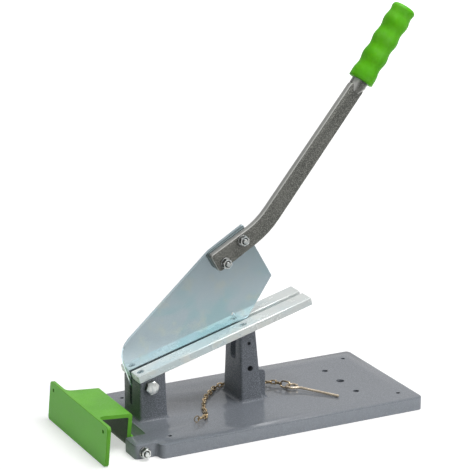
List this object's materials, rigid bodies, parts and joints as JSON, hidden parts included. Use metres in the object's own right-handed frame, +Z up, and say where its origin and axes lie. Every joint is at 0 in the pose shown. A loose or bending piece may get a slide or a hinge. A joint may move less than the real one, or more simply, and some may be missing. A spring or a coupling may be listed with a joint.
{
  "type": "slate cutter",
  "caption": "Bench slate cutter: a long-handled blade swings down between sloping rails on a cast base with a folding edge bracket and a chained locking pin.",
  "frame": {"origin": "middle of the base plate's underside", "axes": "+X along the base towards the free end of the rails, +Y across the base to the far side from the arm, +Z up"},
  "size_m": [0.5392, 0.22, 0.583],
  "materials": {
    "cast_base": "dark grey hammered paint on cast iron",
    "arm_paint": "grey-brown hammered paint",
    "rails": "bright zinc plate",
    "blade_steel": "bluish bright zinc plate",
    "fasteners": "zinc plate",
    "grip": "satin green plastic",
    "bracket_paint": "green powder paint",
    "pin_and_chain": "yellow zinc plate"
  },
  "bodies": {
    "base": {"base_casting": "cast_base", "rail_near": "rails", "rail_far": "rails", "rail_screw_front_near": "fasteners", "rail_screw_front_far": "fasteners", "rail_screw_tall_near": "fasteners", "rail_screw_tall_far": "fasteners", "pivot_bolt": "fasteners", "pivot_nut": "fasteners", "pivot_shim_near": "fasteners", "pivot_shim_far": "fasteners", "axle_bolt": "fasteners", "axle_nut": "fasteners", "axle_washer_near": "fasteners", "axle_washer_far": "fasteners", "lock_pin": "pin_and_chain", "chain_eye": "pin_and_chain", "chain_link_01": "pin_and_chain", "chain_link_02": "pin_and_chain", "chain_link_03": "pin_and_chain", "chain_link_04": "pin_and_chain", "chain_link_05": "pin_and_chain", "chain_link_06": "pin_and_chain", "chain_link_07": "pin_and_chain", "chain_link_08": "pin_and_chain", "chain_link_09": "pin_and_chain", "chain_link_10": "pin_and_chain", "chain_link_11": "pin_and_chain", "chain_link_12": "pin_and_chain", "chain_link_13": "pin_and_chain", "chain_link_14": "pin_and_chain", "chain_link_15": "pin_and_chain", "chain_link_16": "pin_and_chain", "chain_link_17": "pin_and_chain", "chain_link_18": "pin_and_chain", "chain_link_19": "pin_and_chain", "chain_link_20": "pin_and_chain", "chain_link_21": "pin_and_chain", "chain_link_22": "pin_and_chain", "chain_link_23": "pin_and_chain", "chain_link_24": "pin_and_chain", "chain_link_25": "pin_and_chain", "chain_link_26": "pin_and_chain", "chain_link_27": "pin_and_chain", "chain_link_28": "pin_and_chain", "chain_link_29": "pin_and_chain", "chain_end_link": "pin_and_chain"},
    "lever": {"blade": "blade_steel", "handle_arm": "arm_paint", "handle_grip": "grip", "handle_bolt_low": "fasteners", "handle_bolt_high": "fasteners", "handle_washer_low": "fasteners", "handle_washer_high": "fasteners", "handle_nut_low": "fasteners", "handle_nut_high": "fasteners"},
    "edge_bracket": {"bracket": "bracket_paint"}
  },
  "joints": [
    {"name": "lever_swing", "type": "hinge", "parent": "base", "child": "lever", "pos_m": [-0.1838, 0.0135, 0.0713], "axis": [0, 1, 0], "range_deg": [-35, 15.2]},
    {"name": "bracket_fold", "type": "hinge", "parent": "base", "child": "edge_bracket", "pos_m": [-0.231, 0, 0.0095], "axis": [0, 1, 0], "range_deg": [0, 44]}
  ]
}
